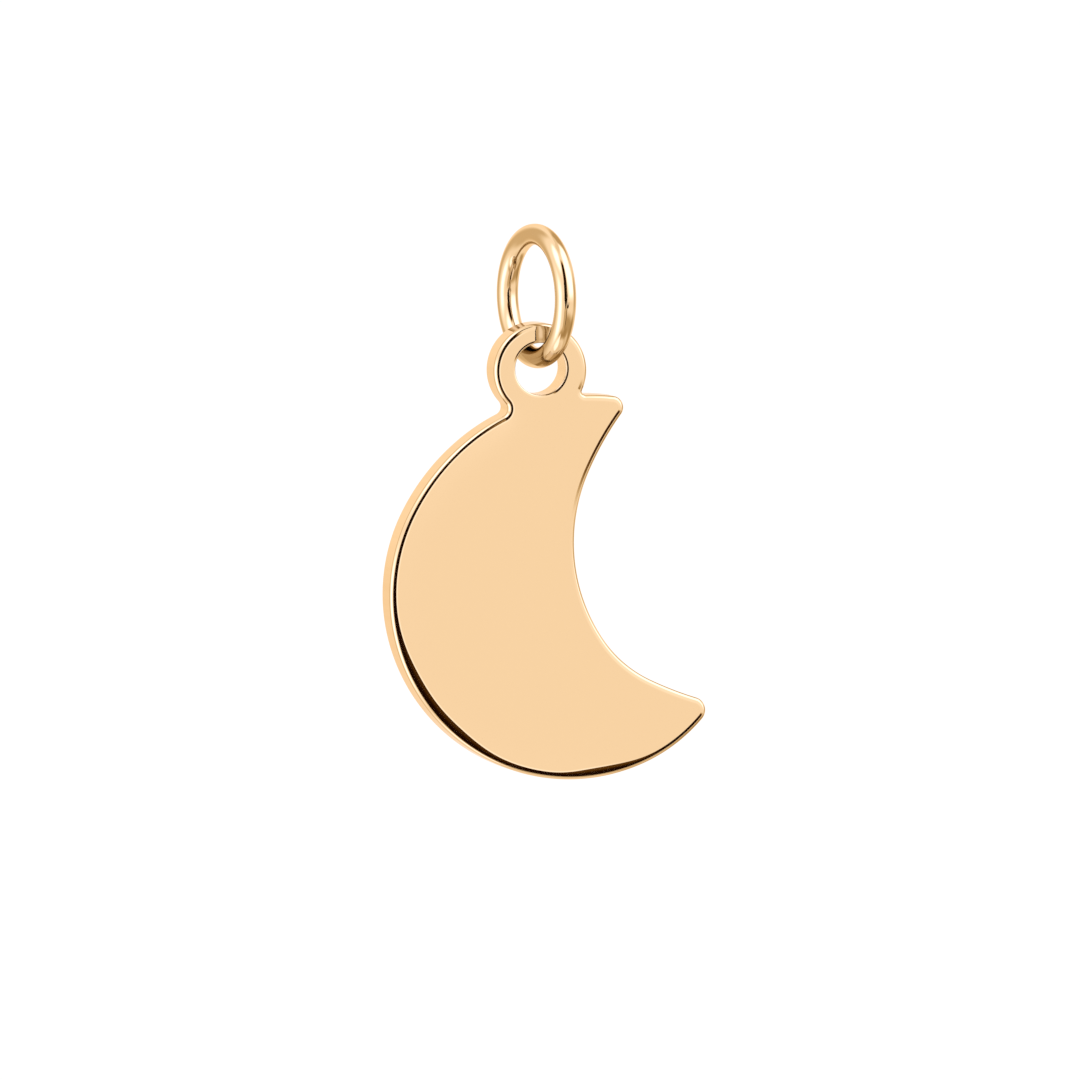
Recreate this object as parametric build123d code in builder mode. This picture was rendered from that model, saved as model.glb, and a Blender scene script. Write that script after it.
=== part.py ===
"""Moon charm: a flat crescent with an eye at its top, hung in a round jump ring.

Millimetres, +Z up. The origin is the inner top of the jump ring, where a chain carries it.
The crescent lies in the XZ plane, with its front face towards -Y and its horns towards +X.
"""

import os
from math import cos, radians, sin, sqrt
from typing import NamedTuple

from build123d import *

# Jump ring, a closed ring of round wire
ring_outer_diameter = 4.40
wire_diameter = 0.65
ring_turn = 14.6  # degrees away from square to the plate

# Plate
plate_thickness = 1.15
face_rounding = 0.23

# Eye, the round tab that the jump ring passes through
eye_hole_diameter = 1.58
eye_wall = 0.657
eye_round_drop = 0.06  # how far the tab's centre lies under the hole's
hole_rounding = 0.13
hang_gap = 0.04  # between the wire and the top of the hole, at the plate's faces

# Crescent
moon_radius = 5.70
bite_radius = 5.24
crescent_width = 5.97
upper_horn_reach = 3.04  # from the hole's centre to the horn's tip before it is rounded
eye_neck = 0.18  # from the outer edge to the hole
eye_lean = 12.3  # degrees that the hole lies to the left of the outer edge's top

# Corners of the outline
upper_horn_rounding = 0.35
lower_horn_rounding = 0.40
left_notch_rounding = 0.25
right_notch_rounding = 0.10


class EdgeArc(NamedTuple):
    """One arc of an edge: its radius as a share of the edge's main one, and where it ends."""

    radius_share: float
    end_bearing: float


# Outer edge, from beyond the upper horn over the left side to beyond the lower horn
outer_edge_start = 60
outer_edge = [
    EdgeArc(1.057, 126),
    EdgeArc(1.185, 152.4),
    EdgeArc(0.965, 189.7),
    EdgeArc(1.000, 292.5),
    EdgeArc(0.896, 340),
]
main_outer_arc = 3

# Hollow edge, from above the upper horn to beyond the lower horn
hollow_edge_start = 130
hollow_edge = [
    EdgeArc(1.786, 156.2),
    EdgeArc(1.000, 214.6),
    EdgeArc(0.709, 244.5),
    EdgeArc(2.120, 265),
]
main_hollow_arc = 1


def polar(length, bearing):
    """A vector in a sketch, from its length and its angle from the horizontal."""
    return Vector(length * cos(radians(bearing)), length * sin(radians(bearing)))


def crossing(first_centre, first_radius, second_centre, second_radius):
    """Where two circles cross, to the left of the way from the first centre to the second."""
    way = second_centre - first_centre
    along = (way.length**2 + first_radius**2 - second_radius**2) / (2 * way.length)
    aside = sqrt(first_radius**2 - along**2)
    return first_centre + way.normalized() * along + way.normalized().rotate(Axis.Z, 90) * aside


def centre_steps(edge, main_radius, main_arc):
    """From the main arc's centre to the centre of each arc, so that each runs smoothly into the next."""
    steps = [Vector(0, 0)]
    for before, after in zip(edge, edge[1:]):
        change = (before.radius_share - after.radius_share) * main_radius
        steps.append(steps[-1] + polar(change, before.end_bearing))
    return [step - steps[main_arc] for step in steps]


def draw_edge(edge, main_radius, main_centre, steps, start_bearing):
    """The arcs of an edge, added to the line that is being built."""
    for arc, step in zip(edge, steps):
        turn = arc.end_bearing - start_bearing
        CenterArc(main_centre + step, arc.radius_share * main_radius, start_bearing, turn)
        start_bearing = arc.end_bearing


# Heights: the wire bends up to the plate's faces, and the top of the hole hangs over it there
wire_radius = wire_diameter / 2
ring_radius = ring_outer_diameter / 2 - wire_radius
ring_inner_radius = ring_radius - wire_radius
ring_centre_z = -ring_inner_radius
hole_radius = eye_hole_diameter / 2
reach_to_face = plate_thickness / 2 / cos(radians(ring_turn))
wire_top_at_face = ring_centre_z - sqrt(ring_inner_radius**2 - reach_to_face**2)
hole_z = wire_top_at_face + hang_gap - hole_radius

# Outer edge: it passes under the hole
hole_centre = Vector(0, hole_z)
top_arc_radius = outer_edge[0].radius_share * moon_radius
top_arc_centre = hole_centre - polar(top_arc_radius + eye_neck + hole_radius, 90 + eye_lean)
outer_steps = centre_steps(outer_edge, moon_radius, main_outer_arc)
moon_centre = top_arc_centre - outer_steps[0]

# Hollow edge: it leaves the upper horn its reach, and the crescent its width
upper_horn_tip = crossing(hole_centre, upper_horn_reach, top_arc_centre, top_arc_radius)
horn_arc_radius = hollow_edge[0].radius_share * bite_radius
hollow_steps = centre_steps(hollow_edge, bite_radius, main_hollow_arc)
centre_distance = crescent_width + bite_radius - moon_radius
bite_centre = crossing(upper_horn_tip - hollow_steps[0], horn_arc_radius, moon_centre, centre_distance)

# Jump ring: it stands almost square to the plate
ring_axis = (cos(radians(ring_turn)), sin(radians(ring_turn)), 0)
ring_plane = Plane(origin=(0, 0, ring_centre_z), x_dir=(0, 0, 1), z_dir=ring_axis)

with BuildPart(ring_plane) as jump_ring:
    Torus(ring_radius, wire_radius)

jump_ring.part.label = "jump_ring"

# Moon plate: crescent and eye in one piece
with BuildPart() as moon_plate:
    with BuildSketch(Plane.XZ) as outline:
        with BuildLine() as disc:
            draw_edge(outer_edge, moon_radius, moon_centre, outer_steps, outer_edge_start)
            Line(disc.line @ 1, disc.line @ 0)
        make_face()
        with BuildLine() as bite:
            draw_edge(hollow_edge, bite_radius, bite_centre, hollow_steps, hollow_edge_start)
            far_side = bite_centre + Vector(bite_radius, 0)
            Polyline(bite.line @ 1, far_side, bite.line @ 0)
        make_face(mode=Mode.SUBTRACT)
        fillet(outline.vertices().sort_by(Axis.Y)[-1], upper_horn_rounding)
        fillet(outline.vertices().sort_by(Axis.X)[-1], lower_horn_rounding)
        with Locations(hole_centre - Vector(0, eye_round_drop)):
            Circle(hole_radius + eye_wall)
        left_notch, right_notch = outline.vertices(Select.LAST).sort_by(Axis.Y)[:2].sort_by(Axis.X)
        fillet(left_notch, left_notch_rounding)
        fillet(outline.vertices().sort_by_distance(right_notch)[0], right_notch_rounding)
    extrude(amount=plate_thickness / 2, both=True)
    fillet(moon_plate.faces().filter_by(Axis.Y).edges(), face_rounding)
    with Locations(Plane((0, 0, hole_z), z_dir=(0, 1, 0))):
        Hole(hole_radius)
    fillet(moon_plate.edges(Select.LAST).filter_by(GeomType.CIRCLE), hole_rounding)

moon_plate.part.label = "moon_plate"

os.makedirs("parts", exist_ok=True)
export_step(jump_ring.part, "parts/jump_ring.step")
export_step(moon_plate.part, "parts/moon_plate.step")
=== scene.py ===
from math import atan2, ceil, cos, degrees, pi, radians, sin, sqrt, tan
from typing import NamedTuple

import bpy
import numpy as np
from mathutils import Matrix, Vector
from mathutils.geometry import delaunay_2d_cdt


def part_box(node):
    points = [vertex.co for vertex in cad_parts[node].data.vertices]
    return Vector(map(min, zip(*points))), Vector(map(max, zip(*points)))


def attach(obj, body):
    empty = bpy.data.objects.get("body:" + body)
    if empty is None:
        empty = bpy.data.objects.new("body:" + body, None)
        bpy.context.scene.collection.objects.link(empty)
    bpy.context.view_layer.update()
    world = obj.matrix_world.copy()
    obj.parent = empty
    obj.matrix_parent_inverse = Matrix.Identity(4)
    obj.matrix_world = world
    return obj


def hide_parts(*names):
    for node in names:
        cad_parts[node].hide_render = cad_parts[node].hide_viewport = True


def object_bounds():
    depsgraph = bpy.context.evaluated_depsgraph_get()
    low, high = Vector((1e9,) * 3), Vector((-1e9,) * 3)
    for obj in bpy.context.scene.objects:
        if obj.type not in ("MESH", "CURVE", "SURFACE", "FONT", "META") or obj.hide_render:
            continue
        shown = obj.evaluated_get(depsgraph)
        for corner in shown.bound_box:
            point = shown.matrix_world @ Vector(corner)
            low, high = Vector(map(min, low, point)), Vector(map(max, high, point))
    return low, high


# A moon charm of polished gold: a flat crescent with an eye, hung in a round jump ring.
# Metres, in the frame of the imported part. The plate's outline lies in the XZ plane.

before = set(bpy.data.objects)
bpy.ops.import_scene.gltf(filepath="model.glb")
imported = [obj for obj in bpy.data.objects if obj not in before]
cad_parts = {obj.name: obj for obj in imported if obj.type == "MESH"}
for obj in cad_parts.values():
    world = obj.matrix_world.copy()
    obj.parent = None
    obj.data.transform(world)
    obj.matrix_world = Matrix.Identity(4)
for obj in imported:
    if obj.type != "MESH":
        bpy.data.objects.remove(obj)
cad_low, cad_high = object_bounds()

mm = 0.001

# Jump ring
ring_low, ring_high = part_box("jump_ring")
ring_wire_radius = 0.325 * mm
ring_radius = (ring_high - ring_low).z / 2 - ring_wire_radius
ring_centre = (ring_low + ring_high) / 2
ring_turn = radians(14.6)
ring_steps = 256
wire_steps = 96

# Plate and the hole in its eye
plate_low, plate_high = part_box("moon_plate")
plate_thickness = plate_high.y - plate_low.y
hole_radius = 0.79 * mm
hole_centre = np.array([0.0, -3.73159 * mm])
eye_wall = 0.657 * mm
eye_round_drop = 0.06 * mm  # from the hole's centre down to that of the eye's round outside

# Crescent
moon_radius = 5.70 * mm
bite_radius = 5.24 * mm
crescent_width = 5.97 * mm
upper_horn_reach = 3.04 * mm
eye_neck = 0.18 * mm  # from the hole to the crescent's edge, as it would run on under the eye
eye_lean = 12.3  # degrees
upper_horn_rounding = 0.35 * mm
lower_horn_rounding = 0.40 * mm
left_notch_rounding = 0.25 * mm
right_notch_rounding = 0.10 * mm

# Fineness of the plate's mesh
outline_step = 0.036 * mm
least_arc_steps = 5
face_step = 0.13 * mm
face_points_clearance = 0.7 * face_step
roll_step = 7  # degrees of tilt between two rows of points round an edge
joining_tolerance = 1e-7 * mm

# The soft fall of the faces towards their rims, which polishing leaves. The outline gets more of
# it where it looks up, and up to as much again where it looks up and to the right
polish_reach = 0.5 * mm
polish_fall = 0.011 * mm
least_polish_share = 0.4
hole_polish_share = 0.2
right_polish_gain = 2

# Camera
camera_turn = radians(-13.5)
camera_rise = radians(4.1)
camera_aim = Vector((0.111 * mm, 0, -8.97 * mm))
frame_width = 32.78 * mm
to_camera = Vector((
    sin(camera_turn) * cos(camera_rise),
    -cos(camera_turn) * cos(camera_rise),
    sin(camera_rise),
))


class EdgeArc(NamedTuple):
    """One arc of an edge: its radius as a share of the edge's main one, and where it ends.

    The last arc of an edge ends where the lower horn's rounding takes over.
    """

    radius_share: float
    end_bearing: float | None = None


# Outer edge, from the upper horn over the left side to the lower horn
outer_edge = [
    EdgeArc(1.057, 126),
    EdgeArc(1.185, 152.4),
    EdgeArc(0.965, 189.7),
    EdgeArc(1.000, 292.5),
    EdgeArc(0.896),
]
main_outer_arc = 3

# Hollow edge, from the upper horn to the lower horn
hollow_edge = [
    EdgeArc(1.786, 156.2),
    EdgeArc(1.000, 214.6),
    EdgeArc(0.709, 244.5),
    EdgeArc(2.120),
]
main_hollow_arc = 1


class Roll(NamedTuple):
    """One round stretch across an edge: its radius, and the tilt off the face where it ends."""

    radius: float
    end_tilt: float


# From the wall inwards to the face
plate_rolls = [
    Roll(0.11 * mm, 55),
    Roll(0.20 * mm, 35),
    Roll(0.05 * mm, 5.6),
    Roll(3.40 * mm, 4.4),
    Roll(0.15 * mm, 2.5),
    Roll(1.10 * mm, 0),
]
land_roll = 3  # the land, which is wider where the edge is worn
land_tilt = (plate_rolls[land_roll - 1].end_tilt + plate_rolls[land_roll].end_tilt) / 2
hole_rolls = [
    Roll(0.02 * mm, 45),
    Roll(0.06 * mm, 5.8),
    Roll(1.70 * mm, 4.4),
    Roll(0.15 * mm, 0),
]


class Wear(NamedTuple):
    """A place on the moon's outer edge where the wheel took more, or less where it is negative.

    Its bearing and how far it spreads, in degrees, and how much wider it makes the land.
    """

    bearing: float
    spread: float
    width: float


outer_edge_from = 0.95 * moon_radius  # points nearer than this to the centre aren't on that edge
moon_wear = [
    Wear(125, 18, -0.02 * mm),
    Wear(200, 40, 0.03 * mm),
    Wear(209, 15, 0.120 * mm),
    Wear(230, 13, 0.120 * mm),
    Wear(258, 16, 0.03 * mm),
    Wear(275, 8, 0.08 * mm),
    Wear(284, 9, 0.09 * mm),
]


class Arc(NamedTuple):
    """A stretch of an outline, drawn from its start to its end bearing round a centre."""

    centre: np.ndarray
    radius: float
    start_bearing: float
    end_bearing: float


def polar(length, bearing):
    """A vector in the outline's plane, from its length and its angle in degrees."""
    return length * np.array([cos(radians(bearing)), sin(radians(bearing))])


def bearing_of(centre, point):
    """The angle in degrees at which a point lies from a centre."""
    across, up = point - centre
    return degrees(atan2(up, across))


def crossing(first_centre, first_radius, second_centre, second_radius):
    """Where two circles cross, to the left of the way from the first centre to the second."""
    way = second_centre - first_centre
    distance = np.hypot(*way)
    along = (distance**2 + first_radius**2 - second_radius**2) / (2 * distance)
    aside = sqrt(first_radius**2 - along**2)
    ahead = way / distance
    left = np.array([-ahead[1], ahead[0]])
    return first_centre + along * ahead + aside * left


def edge_circles(edge, main_radius, main_arc):
    """Centres from the main arc's centre, and radii, so that each arc runs smoothly into the next."""
    steps = [np.zeros(2)]
    for before, after in zip(edge, edge[1:]):
        change = (before.radius_share - after.radius_share) * main_radius
        steps.append(steps[-1] + polar(change, before.end_bearing))
    centres = [step - steps[main_arc] for step in steps]
    radii = [arc.radius_share * main_radius for arc in edge]
    return centres, radii


def turned(start, end, way):
    """The end bearing, brought to less than a turn after the start in the way that is asked."""
    while (end - start) * way < 0:
        end += 360 * way
    while (end - start) * way > 360:
        end -= 360 * way
    return end


def outer_circles():
    """Centres and radii of the outer edge's arcs, which pass under the hole."""
    steps, radii = edge_circles(outer_edge, moon_radius, main_outer_arc)
    top_centre = hole_centre - polar(radii[0] + eye_neck + hole_radius, 90 + eye_lean)
    return [top_centre - steps[0] + step for step in steps], radii


def plate_outline():
    """The arcs round the plate, counterclockwise from the upper horn over the eye."""
    outer_centres, outer_radii = outer_circles()
    top_centre, top_radius = outer_centres[0], outer_radii[0]
    moon_centre = outer_centres[main_outer_arc]

    steps, hollow_radii = edge_circles(hollow_edge, bite_radius, main_hollow_arc)
    horn_tip = crossing(hole_centre, upper_horn_reach, top_centre, top_radius)
    centre_distance = crescent_width + bite_radius - moon_radius
    bite_centre = crossing(horn_tip - steps[0], hollow_radii[0], moon_centre, centre_distance)
    hollow_centres = [bite_centre + step for step in steps]

    eye_centre = hole_centre - np.array([0, eye_round_drop])
    eye_radius = hole_radius + eye_wall

    upper_horn = crossing(
        top_centre, top_radius - upper_horn_rounding,
        hollow_centres[0], hollow_radii[0] + upper_horn_rounding,
    )
    lower_horn = crossing(
        hollow_centres[-1], hollow_radii[-1] + lower_horn_rounding,
        outer_centres[-1], outer_radii[-1] - lower_horn_rounding,
    )
    right_notch = crossing(
        eye_centre, eye_radius + right_notch_rounding,
        top_centre, top_radius + right_notch_rounding,
    )
    left_notch = crossing(
        top_centre, top_radius + left_notch_rounding,
        eye_centre, eye_radius + left_notch_rounding,
    )

    arcs = []

    def draw(centre, radius, start, end, way=1):
        arcs.append(Arc(centre, radius, start, turned(start, end, way)))

    horn_start = bearing_of(upper_horn, hollow_centres[0])
    horn_end = bearing_of(top_centre, upper_horn)
    draw(upper_horn, upper_horn_rounding, horn_start, horn_end)
    draw(top_centre, top_radius, horn_end, bearing_of(top_centre, right_notch))
    notch_start = bearing_of(right_notch, top_centre)
    draw(right_notch, right_notch_rounding, notch_start, bearing_of(right_notch, eye_centre), -1)
    eye_start = bearing_of(eye_centre, right_notch)
    draw(eye_centre, eye_radius, eye_start, bearing_of(eye_centre, left_notch))
    notch_start = bearing_of(left_notch, eye_centre)
    draw(left_notch, left_notch_rounding, notch_start, bearing_of(left_notch, top_centre), -1)

    start = bearing_of(top_centre, left_notch)
    ends = [arc.end_bearing for arc in outer_edge[:-1]]
    ends.append(bearing_of(outer_centres[-1], lower_horn))
    for centre, radius, end in zip(outer_centres, outer_radii, ends):
        draw(centre, radius, start, end)
        start = end

    draw(lower_horn, lower_horn_rounding, start, bearing_of(lower_horn, hollow_centres[-1]))
    start = bearing_of(hollow_centres[-1], lower_horn)
    ends = [arc.end_bearing for arc in hollow_edge[-2::-1]]
    ends.append(bearing_of(hollow_centres[0], upper_horn))
    for centre, radius, end in zip(hollow_centres[::-1], hollow_radii[::-1], ends):
        draw(centre, radius, start, end, -1)
        start = end
    return arcs


def points_along(arcs, step):
    """Points along arcs, about a step apart, and the directions out of the metal there."""
    points, outwards = [], []
    for arc in arcs:
        turn = arc.end_bearing - arc.start_bearing
        count = max(least_arc_steps, ceil(abs(radians(turn)) * arc.radius / step))
        bearings = np.radians(arc.start_bearing + turn * np.arange(count) / count)
        spokes = np.stack([np.cos(bearings), np.sin(bearings)], axis=1)
        points.append(arc.centre + arc.radius * spokes)
        outwards.append(spokes * np.sign(turn))
    return np.concatenate(points), np.concatenate(outwards)


class Row(NamedTuple):
    """A row of points round an edge.

    How far in from the outline and how deep under the face it lies, how the metal tilts there,
    and which share of the land lies between it and the wall.
    """

    inset: float
    depth: float
    tilt: float
    land: float


def rows_across(rolls):
    """Rows of points over the rolls of an edge, from the face to the wall."""
    rows = [Row(inset=0, depth=0, tilt=90, land=0)]
    for number, roll in enumerate(rolls):
        inset, depth, start_tilt, land = rows[-1]
        count = ceil((start_tilt - roll.end_tilt) / roll_step)
        for i in range(1, count + 1):
            tilt = start_tilt + (roll.end_tilt - start_tilt) * i / count
            more_inset = roll.radius * (sin(radians(start_tilt)) - sin(radians(tilt)))
            rise = roll.radius * (cos(radians(tilt)) - cos(radians(start_tilt)))
            more_land = i / count if number == land_roll else 0
            rows.append(Row(inset + more_inset, depth - rise, tilt, land + more_land))
    # So far the depths are from the wall's end, and the face is the last row
    face_depth = rows[-1].depth
    return [row._replace(depth=row.depth - face_depth) for row in rows[::-1]]


class Rim(NamedTuple):
    """The points of all edges of a face, and how much metal polishing takes at each."""

    points: np.ndarray
    weights: np.ndarray


def polish(points, rim):
    """How far polishing lowers the face at each point, and the slope outwards, from its rim."""
    fall, slope = np.zeros(len(points)), np.zeros((len(points), 2))
    for i, point in enumerate(points):
        way = rim.points - point
        distance = np.maximum(np.hypot(*way.T), 1e-9)
        pull = rim.weights * np.exp(-distance / polish_reach)
        fall[i] = pull.sum()
        slope[i] = (way.T / distance * pull).sum(axis=1) / polish_reach
    return fall, slope


def polished_rim(outline, outwards, hole_line):
    """The face's rim: the outline, and the hole, which polishing rounds less."""

    def shares(line):
        """Along a straight rim, these add up to the whole fall."""
        lengths = np.hypot(*(np.roll(line, -1, axis=0) - line).T)
        return lengths * polish_fall / (2 * polish_reach)

    rightwards, upwards = np.clip(outwards, 0, 1).T
    more = least_polish_share + (1 - least_polish_share) * upwards
    more += np.clip(right_polish_gain * rightwards, 0, 1) * upwards
    weights = np.concatenate([shares(outline) * more, shares(hole_line) * hole_polish_share])
    return Rim(np.concatenate([outline, hole_line]), weights)


def land_widths(outline):
    """How much wider the land is at each point of the outline than its roll makes it."""
    centres, _ = outer_circles()
    across, up = (outline - centres[main_outer_arc]).T
    bearings = np.degrees(np.arctan2(up, across)) % 360
    widths = np.zeros(len(outline))
    for wear in moon_wear:
        widths += wear.width * np.exp(-(((bearings - wear.bearing) / wear.spread) ** 2))
    return widths * (np.hypot(across, up) > outer_edge_from)


class Shell:
    """A closed mesh that is being put together, with its own normals."""

    def __init__(self):
        self.points = []
        self.normals = []
        self.faces = []

    def add_points(self, points, normals):
        """Takes points in and gives their numbers."""
        first = len(self.points)
        self.points.extend(points)
        self.normals.extend(normals)
        return list(range(first, first + len(points)))

    def join_rows(self, first, second):
        """Four-sided faces between two rows of points, which both run round."""
        for a, b, c, d in zip(first, np.roll(first, -1), np.roll(second, -1), second):
            self.faces.append((int(d), int(c), int(b), int(a)))

    def make(self, name):
        """The finished mesh, as an object of that name."""
        mesh = bpy.data.meshes.new(name)
        mesh.from_pydata(self.points, [], self.faces)
        mesh.shade_smooth()
        mesh.normals_split_custom_set_from_vertices(self.normals)
        mesh.validate()
        made = bpy.data.objects.new(name, mesh)
        bpy.context.collection.objects.link(made)
        return made


def edge_rows(points, outwards, widths, rows, rim, side):
    """The points and normals of each row across an edge, on the front (-1) or the back (1).

    The widths say how much wider the land is at each point.
    """
    land_rise = tan(radians(land_tilt))
    made = []
    for row in rows:
        place = points - (row.inset + row.land * widths)[:, None] * outwards
        fall, slope = polish(place, rim)
        depth = row.depth + (1 - row.land) * widths * land_rise
        level = side * (plate_thickness / 2 - depth - fall)
        flat = cos(radians(row.tilt))
        aside = sin(radians(row.tilt)) * outwards + flat * slope
        normals = np.stack([aside[:, 0], np.full(len(place), side * flat), aside[:, 1]], axis=1)
        normals /= np.linalg.norm(normals, axis=1)[:, None]
        made.append((np.stack([place[:, 0], level, place[:, 1]], axis=1), normals))
    return made


def inside(points, loop):
    """Which points lie inside a closed loop."""
    hit = np.zeros(len(points), bool)
    for a, b in zip(loop, np.roll(loop, -1, axis=0)):
        spans = (a[1] > points[:, 1]) != (b[1] > points[:, 1])
        rise = b[1] - a[1] if b[1] != a[1] else 1e-12
        hit ^= spans & (points[:, 0] < a[0] + (points[:, 1] - a[1]) * (b[0] - a[0]) / rise)
    return hit


def face_points(outer_loop, hole_loop):
    """Evenly laid points for the flat of a face, clear of its rim."""
    low, high = outer_loop.min(axis=0), outer_loop.max(axis=0)
    row_height = face_step * sqrt(3) / 2
    laid = []
    for i in range(ceil((high[1] - low[1]) / row_height)):
        shift = face_step / 2 * (i % 2)
        across = np.arange(low[0] + shift, high[0], face_step)
        laid.append(np.stack([across, np.full(len(across), low[1] + i * row_height)], axis=1))
    laid = np.concatenate(laid)
    laid = laid[inside(laid, outer_loop) & ~inside(laid, hole_loop)]
    loops = np.concatenate([outer_loop, hole_loop])
    nearest = np.array([np.hypot(*(loops - point).T).min() for point in laid])
    return laid[nearest > face_points_clearance]


def triangles_between(outer_loop, hole_loop, laid):
    """Triangles over the flat of a face, as numbers into the loops and the laid points in turn."""
    outer_count, hole_count = len(outer_loop), len(hole_loop)
    edges = [(i, (i + 1) % outer_count) for i in range(outer_count)]
    edges += [(outer_count + i, outer_count + (i + 1) % hole_count) for i in range(hole_count)]
    # Worked out in millimetres. Kind 1 is the triangles inside the outer loop, the hole's too
    points = [Vector(point) for point in np.concatenate([outer_loop, hole_loop, laid]) / mm]
    worked_out = delaunay_2d_cdt(points, edges, [], 1, joining_tolerance / mm)
    triangles, origins = worked_out[2:4]
    hole_numbers = range(outer_count, outer_count + hole_count)
    numbered = [[origins[i][0] for i in triangle] for triangle in triangles]
    return [corners for corners in numbered if not all(i in hole_numbers for i in corners)]


def moon_plate_shell():
    """The plate: crescent and eye in one piece, with rolled and polished edges."""
    outline, outwards = points_along(plate_outline(), outline_step)
    # Clockwise, because the metal lies outside it
    hole_turn = [Arc(hole_centre, hole_radius, start_bearing=360, end_bearing=0)]
    hole_line, hole_outwards = points_along(hole_turn, outline_step)
    rim = polished_rim(outline, outwards, hole_line)

    # The edges: from the front face over the wall to the back face
    shell = Shell()
    inner_rows = {}
    edges = {"outline": [], "hole": []}
    for side in (-1, 1):
        for name, line, out, widths, rolls in (
            ("outline", outline, outwards, land_widths(outline), plate_rolls),
            ("hole", hole_line, hole_outwards, np.zeros(len(hole_line)), hole_rolls),
        ):
            rows = edge_rows(line, out, widths, rows_across(rolls), rim, side)
            rows = [shell.add_points(*row) for row in rows]
            inner_rows[name, side] = rows[0]
            edges[name] += rows if side < 0 else rows[::-1]
    for rows in edges.values():
        for first, second in zip(rows, rows[1:]):
            shell.join_rows(first, second)

    def in_outline_plane(numbers):
        return np.array([(shell.points[i][0], shell.points[i][2]) for i in numbers])

    # The flats of both faces, between the edges' innermost rows
    outer_loop = in_outline_plane(inner_rows["outline", -1])
    hole_loop = in_outline_plane(inner_rows["hole", -1])
    laid = face_points(outer_loop, hole_loop)
    triangles = triangles_between(outer_loop, hole_loop, laid)
    face_row = Row(inset=0, depth=0, tilt=0, land=1)
    unmoved, no_widths = np.zeros_like(laid), np.zeros(len(laid))
    for side in (-1, 1):
        place, normals = edge_rows(laid, unmoved, no_widths, [face_row], rim, side)[0]
        numbers = inner_rows["outline", side] + inner_rows["hole", side]
        numbers += shell.add_points(place, normals)
        for a, b, c in triangles:
            corners = (numbers[a], numbers[b], numbers[c])
            shell.faces.append(corners if side < 0 else corners[::-1])
    return shell


class Value:
    """An output in a node tree. Sums and other operators on it add Math nodes."""

    def __init__(self, bench, socket):
        self.bench = bench
        self.socket = socket

    def calculate(self, operation, *values):
        """What a Math node makes of some values and numbers."""
        return self.bench.add("ShaderNodeMath", {"operation": operation}, dict(enumerate(values)))[0]

    def __add__(self, other):
        return self.calculate("ADD", self, other)

    def __sub__(self, other):
        return self.calculate("SUBTRACT", self, other)

    def __rsub__(self, other):
        return self.calculate("SUBTRACT", other, self)

    def __mul__(self, other):
        return self.calculate("MULTIPLY", self, other)

    def __truediv__(self, other):
        return self.calculate("DIVIDE", self, other)

    __radd__ = __add__
    __rmul__ = __mul__


def socket_in(sockets, name):
    """The socket of a node by its number, or the one in use by its name."""
    if isinstance(name, int):
        return sockets[name]
    return next(socket for socket in sockets if socket.enabled and socket.name == name)


class Made:
    """A node that was added, whose outputs are taken by name or number."""

    def __init__(self, bench, node):
        self.bench = bench
        self.node = node

    def __getitem__(self, output):
        return Value(self.bench, socket_in(self.node.outputs, output))


class Bench:
    """A node tree under construction."""

    def __init__(self, tree):
        self.tree = tree
        tree.nodes.clear()

    def add(self, kind, settings=None, sockets=None):
        """Adds a node of a kind: its settings first, then what goes into its sockets."""
        node = self.tree.nodes.new(kind)
        for name, setting in (settings or {}).items():
            setattr(node, name, setting)
        for name, given in (sockets or {}).items():
            socket = socket_in(node.inputs, name)
            if isinstance(given, Value):
                self.tree.links.new(given.socket, socket)
            else:
                socket.default_value = given
        return Made(self, node)


def jump_ring_object(gold):
    """The ring of round wire, swept by Geometry Nodes."""
    tree = bpy.data.node_groups.new("round_wire_ring", "GeometryNodeTree")
    bench = Bench(tree)
    sizes = {"ring radius": ring_radius, "wire radius": ring_wire_radius, "turn": ring_turn}
    for name in sizes:
        tree.interface.new_socket(name, in_out="INPUT", socket_type="NodeSocketFloat")
    tree.interface.new_socket("Geometry", in_out="OUTPUT", socket_type="NodeSocketGeometry")
    given = bench.add("NodeGroupInput")
    path = bench.add(
        "GeometryNodeCurvePrimitiveCircle",
        {},
        {"Resolution": ring_steps, "Radius": given["ring radius"]},
    )
    section = bench.add(
        "GeometryNodeCurvePrimitiveCircle",
        {},
        {"Resolution": wire_steps, "Radius": given["wire radius"]},
    )
    swept = bench.add(
        "GeometryNodeCurveToMesh", {}, {"Curve": path["Curve"], "Profile Curve": section["Curve"]}
    )
    turn = bench.add("ShaderNodeCombineXYZ", {}, {"Y": pi / 2, "Z": given["turn"]})
    placed = bench.add(
        "GeometryNodeTransform",
        {},
        {"Geometry": swept["Mesh"], "Translation": ring_centre, "Rotation": turn["Vector"]},
    )
    smooth = bench.add("GeometryNodeSetShadeSmooth", {}, {"Geometry": placed["Geometry"]})
    whole = bench.add("GeometryNodeRealizeInstances", {}, {"Geometry": smooth["Geometry"]})
    golden = bench.add(
        "GeometryNodeSetMaterial", {}, {"Geometry": whole["Geometry"], "Material": gold}
    )
    bench.add("NodeGroupOutput", {}, {"Geometry": golden["Geometry"]})

    blank = bpy.data.objects.new("ring_blank", bpy.data.meshes.new("ring_blank"))
    bpy.context.collection.objects.link(blank)
    modifier = blank.modifiers.new("sweep", "NODES")
    modifier.node_group = tree
    for item in tree.interface.items_tree:
        if item.in_out == "INPUT":
            modifier[item.identifier] = sizes[item.name]
    graph = bpy.context.evaluated_depsgraph_get()
    mesh = bpy.data.meshes.new_from_object(blank.evaluated_get(graph))
    bpy.data.objects.remove(blank)
    mesh.name = "polished_jump_ring"
    made = bpy.data.objects.new("polished_jump_ring", mesh)
    bpy.context.collection.objects.link(made)
    return made


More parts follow.
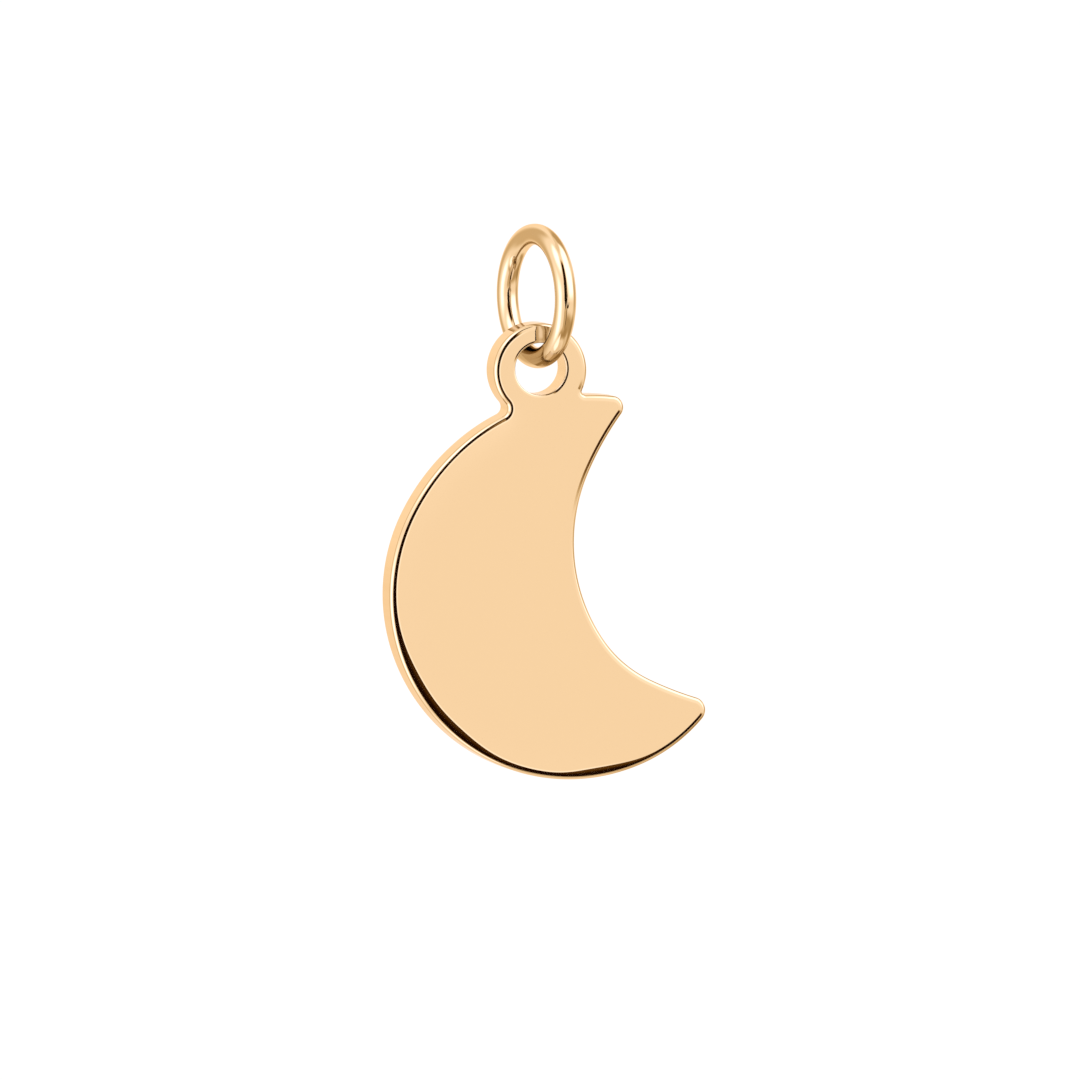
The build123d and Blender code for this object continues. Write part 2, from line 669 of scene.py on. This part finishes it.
gold_colour = (0.93, 0.73, 0.46, 1)
deep_gold_colour = (0.90, 0.68, 0.40, 1)  # in the wheel lines
edge_tint = (1.0, 0.86, 0.66, 1)
floor_white = (0.93, 0.93, 0.93, 1)
ring_card_black = (0.013, 0.008, 0.004, 1)

# Heights of the marks of polishing, where they are deepest, and of the paper's tooth
polish_mark_height = 0.02 * mm
paper_tooth_height = 0.1 * mm

# Where the outer wall's lines begin and are whole, from the plate's middle, and the hole's grain,
# from the hole's axis
wall_lines_begin = 0.56 * mm
wall_lines_whole = 0.44 * mm
hole_grain_begins = 0.90 * mm
hole_grain_whole = 0.83 * mm


def ramp(bench, value, start, end, low=0.0, high=1.0):
    """A soft step of a value, from low at the start to high at the end."""
    return bench.add(
        "ShaderNodeMapRange",
        {"interpolation_type": "SMOOTHSTEP"},
        {"Value": value, "From Min": start, "From Max": end, "To Min": low, "To Max": high},
    )["Result"]


def noise(bench, place, per_metre, detail):
    """Soft random marks, from 0 to 1, so many to the metre."""
    return bench.add(
        "ShaderNodeTexNoise", {}, {"Vector": place, "Scale": per_metre, "Detail": detail}
    )["Fac"]


def stretched(bench, place, shares):
    """The place, squeezed along some axes, so that marks drawn by it run along them."""
    return bench.add("ShaderNodeVectorMath", {"operation": "MULTIPLY"}, {0: place, 1: shares})["Vector"]


def new_material(name):
    """An empty material, and the bench of its nodes."""
    material = bpy.data.materials.new(name)
    material.use_nodes = True
    return material, Bench(material.node_tree)


def polished_gold(bench, colour, roughness, bump):
    """Ends a material in polished gold, which stays warm at glancing angles."""
    gold = bench.add(
        "ShaderNodeBsdfPrincipled",
        {},
        {
            "Base Color": colour,
            "Metallic": 1.0,
            "Specular Tint": edge_tint,
            "Roughness": roughness,
            "Normal": bump["Normal"],
        },
    )
    bench.add("ShaderNodeOutputMaterial", {}, {"Surface": gold["BSDF"]})


def wire_gold_material():
    """Mirror-bright drawn wire, faintly wavy from bending, with a haze from the polishing drum."""
    material, bench = new_material("wire_gold")
    place = bench.add("ShaderNodeTexCoord")["Object"]
    haze = noise(bench, place, per_metre=900, detail=3)
    wave = noise(bench, place, per_metre=500, detail=1)
    bump = bench.add(
        "ShaderNodeBump", {}, {"Strength": 0.15, "Distance": polish_mark_height, "Height": wave}
    )
    polished_gold(bench, gold_colour, 0.04 + 0.04 * haze, bump)
    return material


def plate_gold_material():
    """Mirror-bright sheet: clear faces, wheel lines across the outer wall, and a drilled hole."""
    material, bench = new_material("plate_gold")
    place = bench.add("ShaderNodeTexCoord")["Object"]
    parted = bench.add("ShaderNodeSeparateXYZ", {}, {"Vector": place})
    across, through, up = parted["X"], parted["Y"], parted["Z"]

    from_middle = through.calculate("ABSOLUTE", through)
    on_wall = ramp(bench, from_middle, wall_lines_begin, wall_lines_whole)
    above_hole = up - hole_centre[1]
    from_axis = across.calculate("SQRT", across * across + above_hole * above_hole)
    in_hole = on_wall * ramp(bench, from_axis, hole_grain_begins, hole_grain_whole)

    lines = noise(bench, stretched(bench, place, (1, 0.02, 1)), per_metre=4500, detail=2)
    grain = noise(bench, place, per_metre=9000, detail=2)
    haze = noise(bench, place, per_metre=700, detail=3)
    wave = noise(bench, place, per_metre=250, detail=1)

    deeper = on_wall * ramp(bench, lines, start=0.42, end=0.68, high=0.55)
    colour = bench.add(
        "ShaderNodeMix",
        {"data_type": "RGBA"},
        {"Factor": deeper, "A": gold_colour, "B": deep_gold_colour},
    )
    roughness = 0.032 + 0.02 * haze + 0.05 * on_wall * lines + 0.16 * in_hole * grain
    height = 0.05 * wave + 0.02 * on_wall * lines + 0.10 * in_hole * grain
    bump = bench.add(
        "ShaderNodeBump", {}, {"Strength": 1.0, "Distance": polish_mark_height, "Height": height}
    )
    polished_gold(bench, colour["Result"], roughness, bump)
    return material


def floor_paper_material():
    """The pale floor: matt paper with a faint tooth."""
    material, bench = new_material("floor_paper")
    place = bench.add("ShaderNodeTexCoord")["Object"]
    tooth = noise(bench, place, per_metre=900, detail=2)
    bump = bench.add(
        "ShaderNodeBump", {}, {"Strength": 0.1, "Distance": paper_tooth_height, "Height": tooth}
    )
    paper = bench.add("ShaderNodeBsdfDiffuse", {}, {"Color": floor_white, "Normal": bump["Normal"]})
    bench.add("ShaderNodeOutputMaterial", {}, {"Surface": paper["BSDF"]})
    return material


def ring_card_material():
    """Matt black paper, a little brown."""
    material, bench = new_material("ring_card_paper")
    paper = bench.add("ShaderNodeBsdfDiffuse", {}, {"Color": ring_card_black})
    bench.add("ShaderNodeOutputMaterial", {}, {"Surface": paper["BSDF"]})
    return material


class Card(NamedTuple):
    """A soft-edged card or lamp of the light tent, seen from the charm.

    Angles are in degrees: azimuth to the left of the camera, elevation above the horizon.
    Brightness 1 is the tent's plain wall.
    """

    right: float
    left: float
    side_blur: float
    bottom: float
    top: float
    end_blur: float
    brightness: float


# Laid over each other in this order
studio_cards = {
    "left gap": Card(105, 141, 26, -50, 64, 30, 0.68),
    "right back shade": Card(-170, -122, 24, 22, 70, 16, 0.55),
    "roof": Card(-200, 40, 40, 70, 100, 14, 0.90),
    "low shade": Card(-150, -10, 20, -62, -26, 16, 0.50),
    "low right gap": Card(-128, -94, 20, -42, -18, 14, 0.42),
    "low front": Card(-60, 42, 24, -64, -46, 12, 0.42),
    "under lamp": Card(16, 70, 14, -78, -52, 10, 1.40),
    "horizon glow": Card(-70, -29, 12, 14, 60, 36, 1.50),
    "side lamp": Card(42, 78, 30, -40, 12, 22, 1.62),
    "upper left lamp": Card(22, 72, 26, 32, 66, 22, 1.64),
    "right lamp": Card(-100, -44, 26, 0, 68, 18, 1.60),
    "upper right lamp": Card(-120, -44, 26, 38, 68, 18, 1.60),
    "right gap": Card(-135, -98, 24, -15, 14, 20, 0.62),
    "low right glow": Card(-126, -78, 16, -60, -46, 8, 0.80),
    "low middle shade": Card(-20, 10, 8, -52, -15, 14, 0.62),
    "upper black card": Card(-20, 9, 6, 16, 54, 12, 0.020),
    "black strip": Card(-21, -15.5, 4, -46, 50, 10, 0.012),
}


class Bow(NamedTuple):
    """A soft-edged card bent round the light that the plate's face mirrors to the camera.

    Angles are in degrees: round that light, from its left over its bottom, and off it, as the
    tilt of metal that mirrors the card.
    """

    start: float
    end: float
    end_blur: float
    inner: float
    outer: float
    side_blur: float
    brightness: float


# Laid over the cards and each other in this order
studio_bows = {
    "thin light": Bow(-75, 105, 20, 0.9, 3.4, 1.2, 1.20),
    "rusty end": Bow(126, 162, 20, 3.9, 6.4, 0.5, 0.040),
    "black bow": Bow(-62, 142, 12, 3.9, 6.4, 0.5, 0.010),
    "left brown": Bow(18, 72, 16, 4.6, 5.3, 0.4, 0.065),
    "low brown": Bow(88, 118, 14, 4.5, 5.2, 0.4, 0.110),
}

# Seen behind the charm, and lights the floor. Polished gold mirrors the tent instead
backdrop_white = (1.12, 1.12, 1.12, 1)


def band(bench, value, start, end, blur):
    """1 where a value lies between the start and the end, and 0 beyond them, with soft sides."""
    rise = ramp(bench, value, start - blur / 2, start + blur / 2)
    return rise * ramp(bench, value, end + blur / 2, end - blur / 2)


def studio_light():
    """The light tent round the charm, as polished metal sees it: pale walls, lamps and black cards."""
    world = bpy.data.worlds.new("light_tent")
    bpy.context.scene.world = world
    world.use_nodes = True
    world.cycles.sampling_method = "NONE"  # the tent is found by mirrored rays, not by sampling
    bench = Bench(world.node_tree)
    way = bench.add("ShaderNodeTexCoord")["Generated"]

    def along(axis):
        return bench.add(
            "ShaderNodeVectorMath", {"operation": "DOT_PRODUCT"}, {0: way, 1: axis}
        )["Value"]

    leftward = along((-cos(camera_turn), -sin(camera_turn), 0))
    nearer = along((sin(camera_turn), -cos(camera_turn), 0))
    upward = along((0, 0, 1))
    azimuth = leftward.calculate("ARCTAN2", leftward, nearer) * degrees(1)
    elevation = upward.calculate("ARCSINE", upward) * degrees(1)

    # The tent's wall: a little duller straight below, a little brighter above the horizon
    brightness = ramp(bench, elevation, start=-80, end=-62, low=0.88)
    brightness = brightness + ramp(bench, elevation, start=-3, end=6, high=0.06)
    for card in studio_cards.values():
        mask = band(bench, azimuth, card.right, card.left, card.side_blur)
        mask = mask * band(bench, elevation, card.bottom, card.top, card.end_blur)
        brightness = brightness * (1 - mask) + card.brightness * mask

    # The light that the flat face mirrors to the camera comes from before it, as far to the right
    # as the camera is to the left, and as far below. Metal that is tilted by some angle mirrors
    # light that lies about twice that angle off it
    aside = -to_camera.x - along((1, 0, 0))
    below = -to_camera.z - upward
    turn = below.calculate("ARCTAN2", below, aside) * degrees(1)
    mirrored_per_tilt = -2 * to_camera.y
    off = aside.calculate("SQRT", aside * aside + below * below) * degrees(1) / mirrored_per_tilt
    # Light from behind the plate can lie as far across and up, and isn't near it
    off = off + ramp(bench, along((0, -1, 0)), start=0.2, end=0.0, high=90)
    for bow in studio_bows.values():
        mask = band(bench, turn, bow.start, bow.end, bow.end_blur)
        mask = mask * band(bench, off, bow.inner, bow.outer, bow.side_blur)
        brightness = brightness * (1 - mask) + bow.brightness * mask

    # Dim light is warmer than bright light, and gold that is mirrored in gold is darker
    path = bench.add("ShaderNodeLightPath")
    further = path["Glossy Depth"] - 1
    channels = {}
    for channel, share, power, passed_on in (
        ("Red", 1.01, 1.0, 0.60),
        ("Green", 0.89, 1.3, 0.65),
        ("Blue", 0.80, 2.0, 0.75),
    ):
        light = share * brightness.calculate("POWER", brightness, power)
        channels[channel] = light * brightness.calculate("POWER", passed_on, further)
    tent = bench.add("ShaderNodeCombineColor", {}, channels)
    colour = bench.add(
        "ShaderNodeMix",
        {"data_type": "RGBA"},
        {"Factor": path["Is Glossy Ray"], "A": backdrop_white, "B": tent["Color"]},
    )
    walls = bench.add("ShaderNodeBackground", {}, {"Color": colour["Result"], "Strength": 1.0})
    bench.add("ShaderNodeOutputWorld", {}, {"Surface": walls["Background"]})


# Seen from before, in mm: square at the top, and pointed below, so that the lines taper
ring_card_corners = [(-4.2, 3.0), (-4.2, -2.2), (-1.7, -4.9), (-0.9, -4.9), (0.6, -2.4), (0.6, 3.0)]
ring_card_distance = 12 * mm

floor_reach = 4.0
floor_drop = 18 * mm


def flat_sheet(name, corners, material):
    """A flat sheet of the studio, which isn't part of the charm."""
    mesh = bpy.data.meshes.new(name)
    mesh.from_pydata(corners, [], [range(len(corners))])
    mesh.materials.append(material)
    sheet = bpy.data.objects.new(name, mesh)
    bpy.context.collection.objects.link(sheet)
    return sheet


def ring_card():
    """A black card hung before the ring and above the moon, for the dark lines along the wire."""
    corners = [(across * mm, -ring_card_distance, up * mm) for across, up in ring_card_corners]
    card = flat_sheet("ring_card", corners, ring_card_material())
    card.visible_camera = False
    card.visible_diffuse = False
    card.visible_shadow = False


def pale_floor():
    """A wide sheet of white paper far under the charm, which its polish doesn't mirror."""
    height = cad_low.z - floor_drop
    corners = [
        (across * floor_reach, deep * floor_reach, height)
        for across, deep in ((-1, -1), (1, -1), (1, 1), (-1, 1))
    ]
    floor = flat_sheet("paper_floor", corners, floor_paper_material())
    floor.visible_glossy = False


def product_camera():
    """A long lens at the photograph's angle, framed as the photograph is."""
    camera_data = bpy.data.cameras.new("product_camera")
    camera_data.lens = 1000
    camera_data.sensor_width = 36
    camera_data.clip_start = 0.01
    camera_data.clip_end = 20
    distance = frame_width * camera_data.lens / camera_data.sensor_width
    camera = bpy.data.objects.new("product_camera", camera_data)
    camera.location = camera_aim + to_camera * distance
    camera.rotation_mode = "QUATERNION"
    camera.rotation_quaternion = (-to_camera).to_track_quat("-Z", "Y")
    bpy.context.collection.objects.link(camera)
    bpy.context.scene.camera = camera


ring = jump_ring_object(wire_gold_material())
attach(ring, "ring")
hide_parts("jump_ring")

plate = moon_plate_shell().make("polished_moon_plate")
plate.data.materials.append(plate_gold_material())
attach(plate, "charm")
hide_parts("moon_plate")

studio_light()
ring_card()
pale_floor()
product_camera()
bpy.context.scene.view_settings.view_transform = "Standard"
